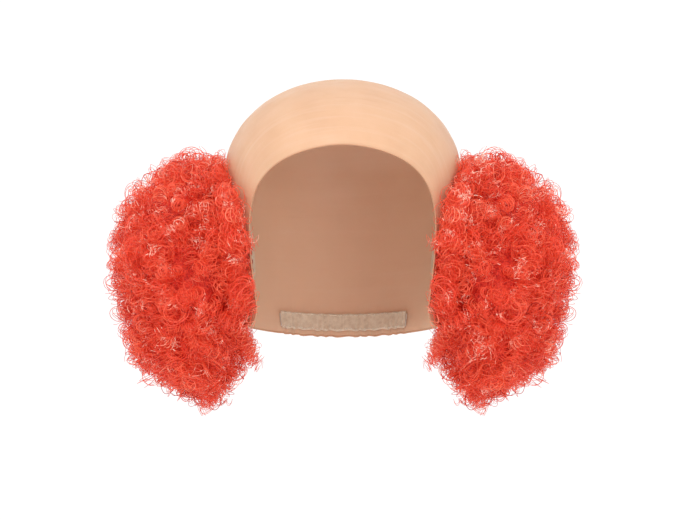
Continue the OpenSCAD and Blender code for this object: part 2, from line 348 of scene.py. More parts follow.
def fibre():
    """Glossy synthetic fibre: tone is each strand's own shade, and tip grows along it; towards the root, deep
    in the puff, the colour is darkened as painted shade. Painted highlights, a pale glint colour in the base
    colour, come in clusters, more of them higher up, where the light falls from above.
    The faint emission stands for the light that thin fibre passes on."""
    material, tree, shader = new_material("curly_fibre", 0.28, Specular_IOR_Level=0.5, Emission_Strength=0.12)
    shader.inputs["Emission Color"].default_value = (1.0, 0.09, 0.04, 1)
    shades = [(0.0, (0.56, 0.027, 0.017)), (0.22, (0.77, 0.046, 0.02)), (0.6, (0.83, 0.088, 0.036)),
              (0.82, (0.89, 0.145, 0.065)), (1.0, (0.97, 0.27, 0.16))]
    strand = ramp(tree, attribute(tree, "tone"), shades)
    # painted shade: each strand is darker towards its root, which lies deep inside the puff
    painted_root_shade = mix(tree, attribute(tree, "tip"), mix(tree, 0.25, strand, (0.75, 0.02, 0.012)), strand)
    # painted highlight: pale glint colour mixed into the base colour in clusters, with more clusters higher
    # up, where the light falls from above
    height = node(tree, "ShaderNodeSeparateXYZ", {"Vector": place_coords(tree)}).outputs["Z"]
    top_light_bias = spread(tree, height, -0.04, 0.05, -0.015, 0.04)
    nearby = math_node(tree, "ADD", noise(tree, 85, 1), top_light_bias)
    clusters = spread(tree, nearby, 0.6, 0.66, 0, 1)
    flecks = spread(tree, noise(tree, 480, 2), 0.47, 0.55, 0, 1)
    painted_glint = math_node(tree, "MULTIPLY", clusters, flecks)
    tree.links.new(mix(tree, painted_glint, painted_root_shade, (1.0, 0.66, 0.52)), shader.inputs["Base Color"])
    return material


def loose_fibre():
    """The single loops that stand out of the puff: duller and deeper in colour."""
    material, tree, shader = new_material("loose_fibre", 0.5, Specular_IOR_Level=0.12)
    strand = ramp(tree, attribute(tree, "tone"), [(0.0, (0.42, 0.024, 0.018)), (0.5, (0.58, 0.034, 0.022)),
                                                  (1.0, (0.8, 0.065, 0.035))])
    tree.links.new(strand, shader.inputs["Base Color"])
    return material


def under_fibre():
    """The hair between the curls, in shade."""
    material, tree, shader = new_material("inner_fibre", 0.6)
    tangle = noise(tree, 420, 4, rough=0.7)
    shade = ramp(tree, tangle, [(0.35, (0.55, 0.016, 0.01)), (0.5, (0.8, 0.04, 0.018)),
                                (0.65, (0.96, 0.085, 0.035))])
    tree.links.new(shade, shader.inputs["Base Color"])
    tree.links.new(bump(tree, tangle, 0.9, 0.0015), shader.inputs["Normal"])
    return material


def cloth(name, dark, light, pitch):
    """Plain weave from two sets of waves along the sheet's own uv, which is in metres."""
    material, tree, shader = new_material(name, 0.85, Sheen_Weight=0.15)
    uv = node(tree, "ShaderNodeUVMap", uv_map="weave").outputs["UV"]
    waves = []
    for turn in (0, math.pi / 2):
        inputs = {"Vector": uv, "Rotation": (0, 0, turn), "Scale": (1, 1, 1)}
        turned = node(tree, "ShaderNodeMapping", inputs).outputs["Vector"]
        inputs = {"Vector": turned, "Scale": 1 / pitch / 3.14, "Distortion": 0.4, "Detail": 1,
                  "Detail Scale": 2}
        waves.append(node(tree, "ShaderNodeTexWave", inputs, bands_direction="X").outputs["Fac"])
    weave = math_node(tree, "MAXIMUM", *waves)
    mottled = math_node(tree, "MULTIPLY", weave, noise(tree, 300, 3))
    tree.links.new(ramp(tree, mottled, [(0.1, dark), (0.6, light)]), shader.inputs["Base Color"])
    tree.links.new(bump(tree, weave, 0.6, 0.0003), shader.inputs["Normal"])
    return material


def thread(name, dark, light):
    material, tree, shader = new_material(name, 0.55)
    strands = noise(tree, 1500, 2)
    tree.links.new(ramp(tree, strands, [(0.35, dark), (0.65, light)]), shader.inputs["Base Color"])
    tree.links.new(bump(tree, strands, 0.5, 0.0002), shader.inputs["Normal"])
    return material


RUBBER = rubber()
FIBRE, LOOSE = fibre(), loose_fibre()
UNDER = under_fibre()
BASE_CLOTH = cloth("base_cloth", (0.24, 0.01, 0.008), (0.5, 0.03, 0.02), 0.9 * MM)
LINING = cloth("lining_cloth", (0.56, 0.42, 0.3), (0.82, 0.7, 0.55), 0.8 * MM)
ELASTIC = cloth("elastic", (0.6, 0.56, 0.5), (0.9, 0.87, 0.82), 1.1 * MM)
RED_THREAD = thread("red_thread", (0.25, 0.01, 0.008), (0.6, 0.05, 0.03))
PALE_THREAD = thread("pale_thread", (0.5, 0.4, 0.3), (0.85, 0.76, 0.64))


# ---- the cap
CAP_COLUMNS, CAP_ROWS = 320, 84
BEAD_HEIGHT, BEAD_WIDTH = 0.32 * MM, 0.7 * MM
EDGE_STEPS = np.array([0, 0.25, 0.5, 0.8, 1.2, 1.7, 2.4, 3.4, 4.8]) * MM


def cap_edge():
    """The cap's lower edge all round, as evenly spaced angles and levels."""
    s = np.linspace(0, 1, 400)
    front = [FRONT_A * (1 - (1 - s) ** 3) ** 0.625, CORNER_Z + (FRONT_Z - CORNER_Z) * (1 - s) ** 0.666]
    turn = s * math.pi / 2
    corner = [CORNER_A - (CORNER_A - FRONT_A) * np.cos(turn), CORNER_Z + (SIDE_Z - CORNER_Z) * np.sin(turn)]
    back = [CORNER_A + (180 - CORNER_A) * s, SIDE_Z + (NAPE_Z - SIDE_Z) * smooth(s)]
    angle, z = np.concatenate([front, corner, back], axis=1)
    run = np.concatenate([[0], np.cumsum(np.linalg.norm(np.diff(head(angle, level_at(z)), axis=0), axis=1))])
    even = np.linspace(0, run[-1], CAP_COLUMNS // 2 + 1)
    angle, level = np.interp(even, run, angle), level_at(np.interp(even, run, z))
    return np.concatenate([angle, 360 - angle[-2:0:-1]]), np.concatenate([level, level[-2:0:-1]])


def bald_cap():
    """The rubber cap: two skins from the crown down, closed by a beaded rim and thinner near its edge."""
    edge_angle, edge_level = cap_edge()
    half = CAP_COLUMNS // 2
    even = np.concatenate([np.linspace(0, 180, half + 1), np.linspace(180, 360, half + 1)[1:-1]])
    length = np.radians(90 - edge_level) * 0.09
    near = EDGE_STEPS[::-1][None, :] / length[:, None]
    far = np.linspace(0.012, 1, CAP_ROWS)[None, :] * (1 - near[:, :1])
    f = np.concatenate([far[:, :-1], 1 - near], axis=1)
    angle = even[:, None] + (edge_angle - even)[:, None] * f ** 1.4
    level = 90 + (edge_level[:, None] - 90) * f
    apart = (1 - f) * length[:, None]
    bead = BEAD_HEIGHT * np.exp(-((apart / BEAD_WIDTH) ** 2))
    thin = CAP_WALL * (0.62 + 0.38 * smooth(apart / (9 * MM)))
    close = np.where(apart < 1e-6, 0.25 * MM, 0)
    outer = head_at(angle, level, bead - close)
    inner = head_at(angle, level, -thin - bead + close)
    rim = (outer[:, -1] + inner[:, -1]) / 2 + unit(outer[:, -1] - outer[:, -2]) * 0.3 * MM
    cols, rows = angle.shape
    n = cols * rows
    poles = np.array([head_at(0, 90, 0), head_at(0, 90, -CAP_WALL)])
    points = np.concatenate([outer.reshape(-1, 3), inner.reshape(-1, 3), rim, poles])
    skin = grid_faces(cols + 1, rows)
    skin = np.where(skin >= n, skin - n, skin)
    j = np.arange(cols)
    k = (j + 1) % cols
    last = rows - 1
    fans = [np.stack([j * rows, k * rows, np.full(cols, 2 * n + cols)], -1),
            np.stack([k * rows + n, j * rows + n, np.full(cols, 2 * n + cols + 1)], -1)]
    rims = [np.stack([j * rows + last, 2 * n + j, 2 * n + k, k * rows + last], -1),
            np.stack([2 * n + j, j * rows + last + n, k * rows + last + n, 2 * n + k], -1)]
    # painted shade along the edge: how far the material darkens each point, strongest at the rim
    shade = 0.85 * np.exp(-((apart / (1.1 * MM)) ** 2)).ravel()
    values = {"down": np.concatenate([f.ravel(), f.ravel(), np.ones(cols), [0, 0]]),
              "inside": np.concatenate([np.zeros(n), np.ones(n), np.full(cols, 0.5), [0, 1]]),
              "edge": np.concatenate([shade, shade, np.full(cols, 0.85), [0, 0]])}
    piece = add_mesh("latex_cap", points, [skin, skin[:, ::-1] + n, *fans, *rims], [RUBBER], values)
    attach(piece, "cap")
    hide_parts("bald_cap")


# ---- what is sewn to each side
def on_base(half_a, half_u, groove=0.0):
    def place(p, q, off):
        u, v = (2 * p - 1) * half_u, 2 * q - 1
        angle, level = base_place(u, v, half_a)
        from_ends = np.abs(np.abs(u) - SEAM_SHARE)
        seam = np.minimum(from_ends, np.abs(np.abs(v * half_a / BASE_HALF_A) - SEAM_SHARE))
        return head_at(angle, level, off + groove * np.exp(-((seam / 0.03) ** 2)))
    return place


def sheet_uv(uv, width, height):
    return {"weave": uv * [width, height]}


def side_cloth(name, node_name, side, half_a, half_u, low, high, material, groove=0.0):
    points, faces, uv = closed_slab(on_base(half_a, half_u, groove), 40, 46, low, high, (0.012, 0.01))
    points, faces = mirrored(points, faces, side)
    width, height = 3.45 * half_a * MM, 2 * half_u * BASE_HALF_H
    piece = add_mesh(name, points, faces, [material], uv=sheet_uv(uv, width, height))
    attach(piece, "cap")
    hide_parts(node_name)


def stitches(name, node_name, side, starts, ends, normals, material):
    """Thread that comes up out of the cloth at each start and goes down at each end."""
    s = np.linspace(0, 1, 9)[None, :, None]
    lift = 0.42 * MM * np.sin(math.pi * s) - 0.2 * MM
    paths = starts[:, None] * (1 - s) + ends[:, None] * s + normals[:, None] * lift
    radii = np.full(paths.shape[:2], 0.34 * MM)
    points, faces = tubes(paths, np.repeat(normals[:, None], 9, axis=1), radii, 8)
    points, faces = mirrored(points, faces, side)
    piece = add_mesh(name, points, faces, [material])
    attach(piece, "cap")
    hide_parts(node_name)


def base_seam():
    """The middles of the stitches round one base, with the steps towards their ends, in u and v."""
    rows = round(2 * SEAM_SHARE * BASE_HALF_H / STITCH_PITCH)
    us = SEAM_SHARE * ((np.arange(rows) + 0.5) / rows * 2 - 1)
    made = [(u, v, 0.5 * STITCH_LENGTH / BASE_HALF_H, 0) for v in (-1, 1) for u in us]
    for u in (-SEAM_SHARE, SEAM_SHARE):
        reach = chord(u) * BASE_HALF_A * 1.6 * MM
        cols = round(float(2 * reach / STITCH_PITCH))
        vs = (np.arange(cols) + 0.5) / cols * 2 - 1
        made += [(u, v, 0, 0.5 * STITCH_LENGTH / reach) for v in vs]
    return np.array(made)


def side_stitches(name, node_name, side):
    u, v, du, dv = base_seam().T
    off = BACKING_OFF - 0.12 * MM
    ends = []
    for sign in (-1, 1):
        angle, level = base_place(u + sign * du, v + sign * dv, BASE_HALF_A * SEAM_SHARE)
        ends.append(head_at(angle, level, off))
    angle, level = base_place(u, v, BASE_HALF_A * SEAM_SHARE)
    stitches(name, node_name, side, *ends, -head_normal(angle, level), RED_THREAD)


def row_middle(row):
    return (2 * row - 1) / WEFT_ROWS - 1


def weft(side_name, side, row):
    """A weft's head: a ribbed strip of folded fibre ends, with two rows of thread zigzagging over it."""
    along, around = 220, 14
    u = row_middle(row)
    q = np.linspace(-1, 1, along)[:, None]
    turn = np.arange(around) * 2 * math.pi / around
    ends = np.sqrt(np.clip(1 - np.abs(q) ** 40, 0.02, 1))
    width = 2 * BASE_HALF_A * WEFT_SHARE * chord(u) * 1.75 * MM
    ribs = 1 + 0.1 * np.cos(q * width / (1.3 * MM) * math.pi)
    up = spow(np.sin(turn), 0.7) * WEFT_H / 2 * ends
    out = spow(np.cos(turn), 0.7) * WEFT_WALL / 2 * ends * ribs + WEFT_OFF + WEFT_WALL / 2
    angle, level = base_place(u + up / BASE_HALF_H, q, BASE_HALF_A * WEFT_SHARE)
    body = head_at(angle, level, out)
    points = [body.reshape(-1, 3)]
    faces = [grid_faces(along, around, wrap=True)[:, ::-1], np.arange(around)[None],
             (along - 1) * around + np.arange(around)[None, ::-1]]
    count = len(points[0])
    for line in (-0.5, 0.5):
        s = np.linspace(-0.98, 0.98, 2 * along)
        zigzag = line * WEFT_H * 0.45 + 0.5 * MM * np.sin(s * width / (2.6 * MM) * math.pi)
        angle, level = base_place(u + zigzag / BASE_HALF_H, s, BASE_HALF_A * WEFT_SHARE)
        path = head_at(angle, level, WEFT_OFF + WEFT_WALL * 1.02)
        radii = np.full((1, len(s)), 0.22 * MM)
        more, more_faces = tubes(path[None], head_normal(angle, level)[None], radii, 5)
        points.append(more)
        faces += [f + count for f in more_faces]
        count += len(more)
    points, faces = mirrored(np.concatenate(points), faces, side)
    piece = add_mesh(f"{side_name}_weft_head_{row}", points, faces, [RED_THREAD])
    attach(piece, "cap")
    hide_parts(f"{side_name}_weft_{row}")


# ---- the nape
def nape_cloth(name, node_name, height, low_z, low, high, material):
    def place(p, q, off):
        angle = 180 + NAPE_A * (2 * q - 1)
        z = nape_level(angle) + NAPE_EDGE + low_z + height * p
        return head_at(angle, level_at(z), off)
    points, faces, uv = closed_slab(place, 12, 150, low, high, (0.05, 0.004))
    width = 2 * NAPE_A * 1.22 * MM
    piece = add_mesh(name, points, faces, [material], uv=sheet_uv(uv, width, height))
    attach(piece, "cap")
    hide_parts(node_name)


def nape_stitches():
    count = 2 * 30
    a = np.tile(np.linspace(181.5 - NAPE_A, 178.5 + NAPE_A, count // 2), 2)
    height = np.repeat([1.2 * MM, CASING_H - 1.2 * MM], count // 2)
    ends = []
    for sign in (-1, 1):
        angle = a + sign * 0.8
        level = level_at(nape_level(angle) + NAPE_EDGE + height)
        ends.append(head_at(angle, level, CASING_OFF - 0.1 * MM))
    normals = -head_normal(a, level_at(nape_level(a) + NAPE_EDGE + height))
    stitches("nape_thread", "nape_stitching", 1, *ends, normals, PALE_THREAD)


# ---- the puffs
def root_point(u, v, off):
    angle, level = base_place(u, v, HAIR_HALF_A)
    return head_at(angle, level, off)


def hair_way(u, v):
    """The way that the hair rooted at u, v grows: it fans out up, down and to both sides."""
    up = np.radians(np.where(u > 0, FAN_UP, FAN_DOWN) * u)
    side = np.radians(FAN_SIDE * chord(u) * v)
    return np.stack([np.cos(up) * np.cos(side), np.sin(side), np.sin(up) * np.cos(side)], -1)


def drawn_in(p):
    """How far the outline is drawn in from the ellipsoid: under its widest level, at its tip and its top."""
    x, z = p[..., 0], p[..., 2]
    waist = WAIST_IN * smooth((WAIST_Z - z) / (20 * MM))
    ends = ROUND_RATE * (np.maximum(HANG_Z - z, 0) ** 2 + np.maximum(z - TOP_Z, 0) ** 2)
    return (waist + ends) * smooth((x - INNER_X) / INNER_RAMP)


def tip_point(u, v, inset=0.0):
    """Where the hair that grows at u, v reaches the puff's outline, drawn in by inset."""
    root, way = root_point(u, v, 6 * MM), hair_way(u, v)
    half = PUFF_HALF - inset
    q, e = (root - PUFF_CENTRE) / half, way / half
    ee, qe, qq = (e * e).sum(-1), (q * e).sum(-1), (q * q).sum(-1)
    gap = qe * qe - ee * (qq - 1)
    reach = np.where(gap > 0, (np.sqrt(np.maximum(gap, 0)) - qe) / ee, 0)
    edge = np.maximum(HAIR_EDGE - 0.9 * inset, 2 * MM)
    reach = (edge + reach + np.sqrt((edge - reach) ** 2 + 60 * MM * MM)) / 2
    tip = root + reach[..., None] * way
    tip[..., 0] -= drawn_in(tip)
    return tip


def surface_normal(u, v):
    du = tip_point(u + 0.01, v) - tip_point(u - 0.01, v)
    dv = tip_point(u, v + 0.01) - tip_point(u, v - 0.01)
    return unit(np.cross(dv, du))


class Outline:
    """The puff's outer surface as a table of points, to draw places from evenly by area."""

    def __init__(self):
        steps = 160
        edges = np.linspace(-1, 1, steps + 1)
        middle = (edges[1:] + edges[:-1]) / 2
        self.u, self.v = (g.ravel() for g in np.meshgrid(middle, 1.03 * middle, indexing="ij"))
        self.half_step = 1 / steps
        du = tip_point(self.u + 0.005, self.v) - tip_point(self.u - 0.005, self.v)
        dv = tip_point(self.u, self.v + 0.005) - tip_point(self.u, self.v - 0.005)
        self.area = np.linalg.norm(np.cross(du, dv), axis=-1) * (2 / steps) ** 2 * 1e4

    def draw(self, rng, count, low=-1.0, high=1.0):
        inside = np.flatnonzero((self.u >= low) & (self.u < high))
        share = self.area[inside] / self.area[inside].sum()
        pick = inside[rng.choice(len(inside), count, p=share)]
        jitter = rng.uniform(-self.half_step, self.half_step, (2, count))
        return self.u[pick] + jitter[0], self.v[pick] + jitter[1]


# ---- the strands: how many, how thick, and how they bunch
SEED, FULL_TURN = 7, 6.28
TRIANGLES_PER_PUFF, CURL_STEPS, STRAND_SIDES = 1180000, 52, 3
OUTER_SHARE, STRAY_SHARE, RIM_SHARE, ROOT_SHARE = 0.68, 0.055, 0.23, 0.035
STRAND_R, STRAY_R, ROOT_R, TIP_THINNING = 0.25 * MM, 0.3 * MM, 0.23 * MM, 0.35
SPLIT_ABOVE = 190000  # a row with more triangles than about this becomes a front and a back piece
LOCKS, BUNDLE, STRAND_APART_MM = 150, 4, 0.95

# ---- the outer curls, with radii in mm
CURL_R, CURL_R_SPREAD, CURL_R_MIN, CURL_R_MAX = 4.0, 0.36, 1.8, 7.5
FEWEST_TURNS, MOST_TURNS = 1.6, 4.6
CURL_ROOT_DEPTH = 20 * MM
# the outline sinks at this share of v, so the curls there are pushed out to fill it
VALLEY_V, VALLEY_WIDTH, VALLEY_PUSH = 0.79, 0.09, 8 * MM

# ---- the curls at the rim, with radii and reaches in mm; x points away from the head
RIM_R, RIM_R_SPREAD, RIM_R_MIN, RIM_R_MAX = 3.1, 0.3, 1.8, 5
HANGING_SHARE, HANGING_ROWS, HANGING_REACH, HANGING_WAY = 0.6, 3, (8, 34), [-0.62, -0.15, -0.95]
FORWARD_SHARE, FORWARD_REACH, FORWARD_WAY = 0.6, (8, 27), [-0.4, -0.9, 0.1]

# ---- the hair inside, and how far strands stay off the cap
UNDER_ROWS, UNDER_COLS, UNDER_INSET, UNDER_EDGE = 150, 190, 18 * MM, 0.97
LUMPS, LUMP_MM = 60, 1.3
HEAD_CLEARANCE, EASE_STEPS = 0.9 * MM, 5


def curl_paths(start, bend, end, ref, radius, turns, phase, steps, wobble):
    """Curls round smooth arcs from start past bend to end. Returns their points and outward normals."""
    s = np.linspace(0, 1, steps)[None, :, None]
    arc = start[:, None] * (1 - s) ** 2 + bend[:, None] * 2 * s * (1 - s) + end[:, None] * s ** 2
    along = unit(np.gradient(arc, axis=1))
    across = unit(np.cross(along, ref[:, None]))
    third = np.cross(along, across)
    s = s[..., 0]
    swell = 0.55 + 0.45 * smooth(s / 0.3) + 0.18 * np.sin(wobble[:, None] + 5 * s)
    turn = phase[:, None] + 2 * math.pi * turns[:, None] * (s + 0.035 * np.sin(wobble[:, None] * 2 + 9 * s))
    out = np.cos(turn)[..., None] * across + np.sin(turn)[..., None] * third
    return arc + (radius[:, None] * swell)[..., None] * out, out


def strand_tones(rng, count):
    """Most strands share one red, and a few stand out paler or darker."""
    tone = rng.normal(0.5, 0.13, count)
    kind = rng.uniform(size=count)
    tone = np.where(kind < 0.12, rng.uniform(0.75, 1, count), tone)
    return np.clip(np.where(kind > 0.93, rng.uniform(0, 0.2, count), tone), 0, 1)


def row_span(row):
    """The stretch of u that one weft's hair grows from."""
    return (2 * row - 2) / WEFT_ROWS - 1, 2 * row / WEFT_ROWS - 1


def along_surface(way, normal):
    return unit(way - (way * normal).sum(-1, keepdims=True) * normal)


def any_phase(rng, count):
    return rng.uniform(0, FULL_TURN, count)


def puff_curls(rng, outline, locks, row, count):
    """The outer curls of one row: bundles of fibre that rise out of the puff and turn over along it."""
    leaders = round(count / BUNDLE)
    n = leaders * BUNDLE
    u, v = outline.draw(rng, leaders, *row_span(row))
    tip, normal = tip_point(u, v, 2 * MM), surface_normal(u, v)
    valley = np.exp(-(((np.abs(v) - VALLEY_V) / VALLEY_WIDTH) ** 2)) * smooth((0.95 - np.abs(u)) / 0.4)
    valley = valley[:, None]
    outwards = np.stack([np.full(leaders, 0.25), np.sign(v), np.zeros(leaders)], -1)
    tip, normal = tip + valley * [0, VALLEY_PUSH, 0] * outwards, unit(normal + 1.2 * valley * outwards)
    away = np.linalg.norm(tip[:, None] - locks["tip"][None], axis=-1)
    lock = np.argmin(away, axis=1)
    tip = tip + (locks["tip"][lock] - tip) * rng.uniform(0, 0.2, (leaders, 1))
    depth = locks["depth"][lock] + rng.gamma(1.1, 1.4 * MM, leaders)
    way = unit(rng.normal(size=(leaders, 3)) + 1.2 * locks["way"][lock])
    way = along_surface(way, normal)
    lay = rng.uniform(4, 24, (leaders, 1)) * MM
    radius = np.clip(rng.lognormal(math.log(CURL_R), CURL_R_SPREAD, leaders), CURL_R_MIN, CURL_R_MAX) * MM
    start = tip - normal * (CURL_ROOT_DEPTH + depth[:, None])
    bend = tip + normal * (3 * MM - depth[:, None])
    end = tip + way * lay - normal * (depth[:, None] + lay * rng.uniform(-0.12, 0.5, (leaders, 1)))
    length = CURL_ROOT_DEPTH + lay[:, 0]
    turns = length / (rng.uniform(1.1, 2.1, leaders) * radius) * rng.choice([-1, 1], leaders)
    turns = np.sign(turns) * np.clip(np.abs(turns), FEWEST_TURNS, MOST_TURNS)
    phase = rng.uniform(0, 2 * math.pi, leaders)

    def repeat(x):
        return np.repeat(x, BUNDLE, axis=0)

    stray = rng.normal(size=(n, 3)) * STRAND_APART_MM * MM
    wobble = repeat(any_phase(rng, leaders)) + rng.normal(0, 0.12, n)
    points, out = curl_paths(
        repeat(start) + stray, repeat(bend) + stray, repeat(end) + stray * 2.2,
        repeat(np.cross(normal, way) + 1e-6), repeat(radius) * rng.uniform(0.85, 1.15, n),
        repeat(turns) * rng.uniform(0.95, 1.05, n), repeat(phase) + rng.normal(0, 0.3, n), CURL_STEPS, wobble)
    tone = strand_tones(rng, n) + repeat(rng.normal(0, 0.1, leaders))
    return points, out, np.clip(tone, 0, 1)


def stray_curls(rng, outline, row, count):
    """Single loose loops that stand out of the outline."""
    u, v = outline.draw(rng, count, *row_span(row))
    tip, normal = tip_point(u, v, 4 * MM), surface_normal(u, v)
    way = unit(rng.normal(size=(count, 3)))
    way = along_surface(way, normal)
    radius = rng.uniform(3, 6.5, count) * MM
    start = tip - normal * 11 * MM
    end = tip + way * rng.uniform(4, 20, (count, 1)) * MM - normal * rng.uniform(0, 7, (count, 1)) * MM
    bend = tip + normal * rng.uniform(4, 13, (count, 1)) * MM + way * 4 * MM
    turns = rng.uniform(0.8, 1.8, count) * rng.choice([-1, 1], count)
    points, out = curl_paths(start, bend, end, np.cross(normal, way), radius, turns,
                             any_phase(rng, count), CURL_STEPS, any_phase(rng, count))
    return points, out, rng.uniform(0, 1, count)


def rim_curls(rng, row, count):
    """Curls from the edge of the sewn patch that spill over it. Most lie on the cap around it, some low
    ones hang, and some at the front reach forward. lift is how far out each starts, 1 at the outline."""
    u = rng.uniform(*row_span(row), count)
    v = rng.choice([-1.0, -1.0, 1.0], count) * rng.uniform(0.78, 1.05, count)
    if row in (1, WEFT_ROWS):
        end_row = rng.uniform(size=count) < 0.5
        u = np.where(end_row, math.copysign(1, row - 2) * rng.uniform(0.93, 1.0, count), u)
        v = np.where(end_row, rng.uniform(-1, 1, count), v)
    start = root_point(u, v, np.full(count, WEFT_OFF))
    spill = unit(start - root_point(u * 0.9, v * 0.9, np.full(count, WEFT_OFF)))
    lift = rng.uniform(0, 1, (count, 1)) ** 1.2
    start = start + lift * (tip_point(u, v, 2 * MM) - start)
    normal = head_normal(*base_place(u, v, HAIR_HALF_A))
    radius = np.clip(rng.lognormal(math.log(RIM_R), RIM_R_SPREAD, count), RIM_R_MIN, RIM_R_MAX) * MM
    way = unit(spill + rng.normal(0, 0.45, (count, 3)))
    rise = rng.uniform(0, 10, (count, 1)) * (1 - lift) * MM + radius[:, None] * (1 - 0.6 * lift)
    low_down = smooth(0.4 - u)[:, None]
    reach = (rng.uniform(3, 17, (count, 1)) + 6 * low_down) * MM
    way = unit(way + low_down * [-0.5, 0, -0.6])
    hangs = (rng.uniform(size=(count, 1)) < HANGING_SHARE) & (row <= HANGING_ROWS)
    reach = np.where(hangs, rng.uniform(*HANGING_REACH, (count, 1)) * MM, reach)
    way = unit(np.where(hangs, 0.4 * way + HANGING_WAY, way))
    forward = (rng.uniform(size=(count, 1)) < FORWARD_SHARE) & (v < 0)[:, None] & (u > 0.1)[:, None]
    reach = np.where(forward, rng.uniform(*FORWARD_REACH, (count, 1)) * MM, reach)
    way = unit(np.where(forward, 0.5 * way + FORWARD_WAY, way))
    start = start - spill * rng.uniform(0, 5, (count, 1)) * MM
    bend = start + normal * rise * 1.4 + way * reach * 0.3
    settle = np.maximum(rise * rng.uniform(0.4, 1, (count, 1)), radius[:, None]) * (1 - lift)
    settle = settle - 4 * MM * lift ** 2
    end = start + way * reach * (1 - 0.55 * lift) + normal * settle
    turns = (rise + reach)[:, 0] / radius * rng.uniform(0.4, 0.7, count) * rng.choice([-1, 1], count)
    turns = np.sign(turns) * np.clip(np.abs(turns), 1.5, MOST_TURNS)
    points, out = curl_paths(start, bend, end, np.cross(normal, way) + 1e-6, radius, turns,
                             any_phase(rng, count), CURL_STEPS, any_phase(rng, count))
    return points, out, strand_tones(rng, count)


def root_curls(rng, row, count):
    """Fibre that leaves the weft's head and runs into the puff."""
    u = row_middle(row) + rng.uniform(-0.4, 0.4, count) * WEFT_H / BASE_HALF_H
    v = rng.uniform(-0.8, 0.8, count)
    start = root_point(u, v, np.full(count, WEFT_OFF + WEFT_WALL * 0.7))
    way = unit(hair_way(u, v) + rng.normal(0, 0.22, (count, 3)))
    reach = rng.uniform(18, 36, (count, 1)) * MM
    normal = head_normal(*base_place(u, v, HAIR_HALF_A))
    bend = start + normal * reach * 0.55
    end = start + normal * reach * 0.35 + way * reach
    radius = rng.uniform(1.6, 4.2, count) * MM
    turns = reach[:, 0] / radius * rng.uniform(0.35, 0.6, count) * rng.choice([-1, 1], count)
    points, out = curl_paths(start, bend, end, np.cross(normal, [0.3, 0.5, 1.0]), radius, turns,
                             any_phase(rng, count), CURL_STEPS, any_phase(rng, count))
    ramp_in = smooth(np.linspace(0, 1, CURL_STEPS) / 0.25)[None, :, None]
    straight = start[:, None] + (end - start)[:, None] * np.linspace(0, 1, CURL_STEPS)[None, :, None]
    return straight * (1 - ramp_in) + points * ramp_in, out, strand_tones(rng, count)


def keep_off_head(points):
    """Moves stretches of strand that dip into the cap out of it. The move is eased along each strand, so
    that its curl isn't flattened."""
    p = points.reshape(-1, 3)
    angle = np.degrees(np.arctan2(spow(p[:, 0] / HALF_W, 1 / PLAN_POWER),
                                  spow((HEAD_Y - p[:, 1]) / HALF_L, 1 / PLAN_POWER)))
    level = level_at(np.clip(p[:, 2], NAPE_Z, BROW_Z + 0.98 * DOME_H))
    normal = head_normal(angle, level)
    sunk = ((head_at(angle, level, np.full(len(p), HEAD_CLEARANCE)) - p) * normal).sum(-1)
    beside_cap = (p[:, 2] > -72 * MM) & (p[:, 2] < 112 * MM)
    sunk = np.where(beside_cap, np.maximum(sunk, 0), 0).reshape(points.shape[:2])

    def over_neighbours(values, combine):
        padded = np.pad(values, ((0, 0), (EASE_STEPS, EASE_STEPS)), mode="edge")
        return combine([padded[:, k:k + values.shape[1]] for k in range(2 * EASE_STEPS + 1)], axis=0)

    eased = over_neighbours(over_neighbours(sunk, np.max), np.mean)
    return points + np.maximum(eased, sunk)[..., None] * normal.reshape(points.shape)


def strand_uv(count, steps, sides):
    """Each strand gets its own thin line of the bake map, and each step its own stretch of that line."""
    row = (np.arange(count) + 0.5) / count
    col = (np.arange(steps) + 0.5) / steps
    v = row[:, None, None] + (np.arange(sides)[None, None] - 1) * 0.3 / count
    u = np.broadcast_to(col[None, :, None], (count, steps, sides))
    return np.stack([u, np.broadcast_to(v, u.shape)], -1).reshape(-1, 2)


def fibre_piece(name, node_name, side_name, points, out, tone, thick, loose):
    side = SIDES[side_name]
    count, steps, _ = points.shape
    taper = 1 - TIP_THINNING * np.linspace(0, 1, steps) ** 3
    mesh_points, faces = tubes(points, out, thick[:, None] * taper[None], STRAND_SIDES)
    mesh_points, faces = mirrored(mesh_points, faces, side)
    values = {"tone": np.repeat(tone, steps * STRAND_SIDES),
              "tip": np.tile(np.repeat(smooth(np.linspace(0, 1.6, steps)), STRAND_SIDES), count)}
    slots = np.concatenate([np.repeat(loose, (steps - 1) * STRAND_SIDES), loose, loose])
    piece = add_mesh(name, mesh_points, faces, [FIBRE, LOOSE], values,
                     uv={"OFBake": strand_uv(count, steps, STRAND_SIDES)}, face_material=slots)
    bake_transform(piece)
    if node_name:
        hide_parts(node_name)


def underhair(side_name):
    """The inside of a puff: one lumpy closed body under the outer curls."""
    side = SIDES[side_name]
    rng = np.random.default_rng(SEED + 100)
    rows, cols = UNDER_ROWS, UNDER_COLS
    u, v = np.meshgrid(np.linspace(-UNDER_EDGE, UNDER_EDGE, rows), np.linspace(-UNDER_EDGE, UNDER_EDGE, cols),
                       indexing="ij")
    tip = tip_point(u, v, UNDER_INSET)
    lumps = np.zeros(u.shape)
    for _ in range(LUMPS):
        wave = rng.normal(size=3)
        wave *= rng.uniform(260, 900) / np.linalg.norm(wave)
        lumps += np.sin(tip @ wave + rng.uniform(0, FULL_TURN)) / 5.5
    tip = tip + surface_normal(u, v) * (lumps * LUMP_MM * MM)[..., None]
    root = root_point(u, v, np.full(u.shape, 6 * MM) + 0.09 * np.abs(BASE_Z + BASE_HALF_H * u + 12 * MM))
    front = grid_faces(rows, cols)
    faces = [front, front[:, ::-1] + rows * cols, rim_faces(rows, cols)]
    points, faces = mirrored(np.concatenate([tip.reshape(-1, 3), root.reshape(-1, 3)]), faces, side)
    piece = add_mesh(f"{side_name}_underhair", points, faces, [UNDER])
    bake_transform(piece)


